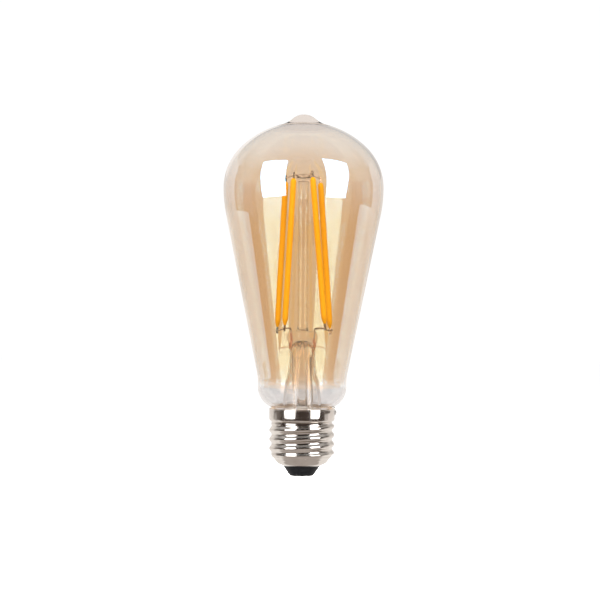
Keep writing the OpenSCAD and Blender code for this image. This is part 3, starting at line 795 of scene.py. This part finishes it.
def make_world():
    """White all round. A mirror sees a dim room, and a glint inside the glass sees a paler one.

    A ray mirrored inside the envelope crosses its two surfaces twice, which is more than INSIDE_CROSSINGS.
    """
    world = bpy.data.worlds.new("studio")
    world.use_nodes = True
    tree = world.node_tree
    tree.nodes.clear()
    white = add(tree, "ShaderNodeBackground", inputs={"Color": (1, 1, 1, 1), "Strength": 1.03})
    room = add(tree, "ShaderNodeBackground", inputs={"Color": (0.06, 0.045, 0.038, 1), "Strength": 1.0})
    haze = add(tree, "ShaderNodeBackground", inputs={"Color": (0.95, 0.88, 0.8, 1), "Strength": 1.0})
    path = add(tree, "ShaderNodeLightPath")
    inside = add(tree, "ShaderNodeMath", operation="GREATER_THAN", inputs={1: INSIDE_CROSSINGS})
    dark = add(tree, "ShaderNodeMixShader")
    output = add(tree, "ShaderNodeOutputWorld")
    tree.links.new(path.outputs["Transmission Depth"], inside.inputs[0])
    tree.links.new(inside.outputs[0], dark.inputs["Fac"])
    tree.links.new(room.outputs[0], dark.inputs[1])
    tree.links.new(haze.outputs[0], dark.inputs[2])
    tree.links.new(reflected_only(tree, dark, white).outputs[0], output.inputs["Surface"])
    scene.world = world


def make_floor():
    """A pale floor well below the lamp. Rays from glass, from mirrors and from below pass through it."""
    bm = bmesh.new()
    bmesh.ops.create_grid(bm, x_segments=8, y_segments=8, size=FLOOR_HALF)
    mesh = bpy.data.meshes.new("floor")
    bm.to_mesh(mesh)
    bm.free()
    floor = bpy.data.objects.new("floor", mesh)
    scene.collection.objects.link(floor)
    floor.location.z = FLOOR_Z
    material = bpy.data.materials.new("pale_floor")
    material.use_nodes = True
    tree = material.node_tree
    paint = tree.nodes["Principled BSDF"]
    paint.inputs["Base Color"].default_value = (0.97, 0.97, 0.97, 1)
    paint.inputs["Roughness"].default_value = 0.8
    paint.inputs["Specular IOR Level"].default_value = 0.0
    clear = add(tree, "ShaderNodeBsdfTransparent")
    geometry = add(tree, "ShaderNodeNewGeometry")
    path = add(tree, "ShaderNodeLightPath")
    through = add(tree, "ShaderNodeMath", operation="ADD")
    either = add(tree, "ShaderNodeMath", operation="ADD", use_clamp=True)
    mix = add(tree, "ShaderNodeMixShader")
    tree.links.new(path.outputs["Transmission Depth"], through.inputs[0])
    tree.links.new(path.outputs["Glossy Depth"], through.inputs[1])
    tree.links.new(geometry.outputs["Backfacing"], either.inputs[0])
    tree.links.new(through.outputs[0], either.inputs[1])
    tree.links.new(either.outputs[0], mix.inputs["Fac"])
    tree.links.new(paint.outputs[0], mix.inputs[1])
    tree.links.new(clear.outputs[0], mix.inputs[2])
    tree.links.new(mix.outputs[0], tree.nodes["Material Output"].inputs["Surface"])
    mesh.materials.append(material)


def make_light(name, azimuth, elevation):
    """A soft lamp that lights dull surfaces; the panels are what shiny ones show."""
    data = bpy.data.lights.new(name, "AREA")
    data.shape = "SQUARE"
    data.size = LAMP_SIZE
    data.energy = LAMP_POWER
    lamp = bpy.data.objects.new(name, data)
    scene.collection.objects.link(lamp)
    way = direction(azimuth, elevation)
    target = Vector((0, 0, 70 * MM))
    lamp.matrix_world = Matrix.Translation(target + way) @ way.to_track_quat("Z", "Y").to_matrix().to_4x4()
    lamp.visible_camera = False
    lamp.visible_glossy = False
    lamp.visible_transmission = False


# ---- Everything ----

make_camera()
make_world()
make_floor()
softbox("softbox_left", [(-24.5, -6.5), (-60, -6.5), (-71.6, 39.7), (-28.8, 48.2)], 6)
softbox("softbox_right", [(32, -7), (61.5, -6.5), (75.7, 37.1), (35.6, 51.9)], 6)
backdrop_foot_light = even_glow(0.82, (1, 0.95, 0.91))
table_light = even_glow(0.95, (1, 0.96, 0.93))
side_light = even_glow(0.15, (1, 0.85, 0.76))
wall("backdrop", (117, 243), lambda az: 8, lambda az: max(backdrop_top(az), 8), backdrop_glow)
wall("backdrop_foot", (117, 243), lambda az: -12, lambda az: min(backdrop_top(az), 8), backdrop_foot_light)
wall("table_right", (90, 180), lambda az: -50, table_right_top, table_light)
wall("table_left", (180, 270), lambda az: -50, table_left_top, table_light)
wall("side_right", (80, 117), table_right_top, lambda az: 40, side_light)
wall("side_left", (243, 280), table_left_top, lambda az: 40, side_light)
wall("table_front", (-90, 90), lambda az: -50, lambda az: -28, even_glow(0.5, (1, 0.88, 0.8)))
wall("under", (0, 360), lambda az: -89, lambda az: -50, even_glow(0.45, (1, 0.9, 0.84)))
cap_card("cap_card_right_near", (80, 96), 0.6)
cap_card("cap_card_right_far", (96, 122), 0.9)
cap_card("cap_card_left", (256, 269), 0.45)
make_ceiling()
make_light("key_left", -45, 30)
make_light("key_right", 47, 30)
make_light("fill_back", 180, 20)

amber = amber_glass()
clear = clear_glass()
neck_glass = clear_glass("clear_neck", (0.86, 0.84, 0.832))
make_envelope(amber, neck_glass, clear_glass("tip_glass", (0.76, 0.68, 0.62), 1.03))
make_stem(clear)
make_exhaust(clear)
make_rod(clear)
coat = phosphor()
for index in range(len(FILAMENTS)):
    make_filament(index, coat)
make_cap(metal(
    "nickel_plate", (0.72, 0.67, 0.62), (0.82, 0.78, 0.73), rough=(0.11, 0.18), grain=150, dent=0.004))
make_insulator(matte(
    "black_insulator", (0.004, 0.004, 0.0045), (0.009, 0.009, 0.01),
    rough=(0.3, 0.4), dent=0.005, specular=0.06))

wire_metal = metal(
    "nickel_wire", (0.55, 0.45, 0.35), (0.68, 0.58, 0.47), rough=(0.35, 0.5), metallic=0.35)
copper_seal = metal(
    "copper_seal", (0.6, 0.3, 0.2), (0.72, 0.42, 0.3), rough=(0.35, 0.5), metallic=0.35)
copper = metal("copper_wire", (0.35, 0.2, 0.12), (0.5, 0.3, 0.18), rough=(0.25, 0.4))
tinned = metal("tinned_metal", (0.62, 0.6, 0.57), (0.78, 0.76, 0.73), rough=(0.2, 0.35))
CARRIED_OVER = {
    wire_metal: ["support_wire_front", "support_wire_rear", "lead_wire_left", "lead_wire_right",
                 "outer_lead_left", "outer_lead_right"],
    copper_seal: ["dumet_seal_left", "dumet_seal_right"],
    copper: ["inductor_winding"],
    tinned: ["centre_contact", "neutral_wire", "rim_solder"],
    metal("tab_metal", (0.36, 0.33, 0.3), (0.5, 0.47, 0.44), rough=(0.3, 0.45)):
        [f"filament_tabs_{n}" for n in range(1, 5)],
    metal("pin_brass", (0.62, 0.46, 0.22), (0.78, 0.62, 0.34)): ["contact_pin"],
    metal("shield_can", (0.62, 0.62, 0.63), (0.75, 0.75, 0.76), rough=(0.25, 0.4)): ["wifi_shield"],
    matte("clear_strip", (0.8, 0.8, 0.76), (0.9, 0.9, 0.87)):
        [f"filament_substrate_{n}" for n in range(1, 5)],
    matte("led_chip", (0.2, 0.28, 0.5), (0.32, 0.42, 0.66), rough=(0.15, 0.3)):
        [f"led_chips_{n}" for n in range(1, 5)],
    matte("cement", (0.36, 0.26, 0.18), (0.5, 0.38, 0.28), rough=(0.7, 0.9), dent=0.08): ["basing_cement"],
    matte("circuit_board", (0.62, 0.6, 0.55), (0.74, 0.72, 0.67)): ["driver_board", "wifi_board"],
    matte("chip_package", (0.015, 0.015, 0.016), (0.03, 0.03, 0.032)): ["bridge_rectifier", "driver_chip"],
    matte("capacitor_can", (0.03, 0.035, 0.06), (0.06, 0.065, 0.1), rough=(0.2, 0.35)):
        ["electrolytic_capacitor"],
    matte("ferrite", (0.03, 0.03, 0.032), (0.06, 0.06, 0.065), rough=(0.5, 0.7)): ["inductor_core"],
    matte("resistor_coat", (0.14, 0.34, 0.24), (0.22, 0.46, 0.34)): ["fuse_resistor"],
    matte("chip_parts", (0.42, 0.36, 0.28), (0.62, 0.55, 0.44)): ["board_passives"],
    matte("aerial_jacket", (0.3, 0.25, 0.2), (0.4, 0.34, 0.28)): ["wifi_antenna"],
    matte("wire_jacket", (0.4, 0.03, 0.025), (0.55, 0.06, 0.05)): ["live_wire"],
    matte("sleeve_film", (0.55, 0.54, 0.5), (0.7, 0.69, 0.65), rough=(0.15, 0.3)): ["insulating_sleeve"],
}
for material, names in CARRIED_OVER.items():
    for name in names:
        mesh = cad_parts[name].data
        mesh.materials.clear()
        mesh.materials.append(material)
        for polygon in mesh.polygons:
            polygon.use_smooth = True

scene.view_settings.view_transform = "Standard"
scene.cycles.max_bounces = 40
scene.cycles.transmission_bounces = 40
scene.cycles.glossy_bounces = 12
scene.cycles.transparent_max_bounces = 40
scene.cycles.caustics_refractive = False
scene.cycles.caustics_reflective = False
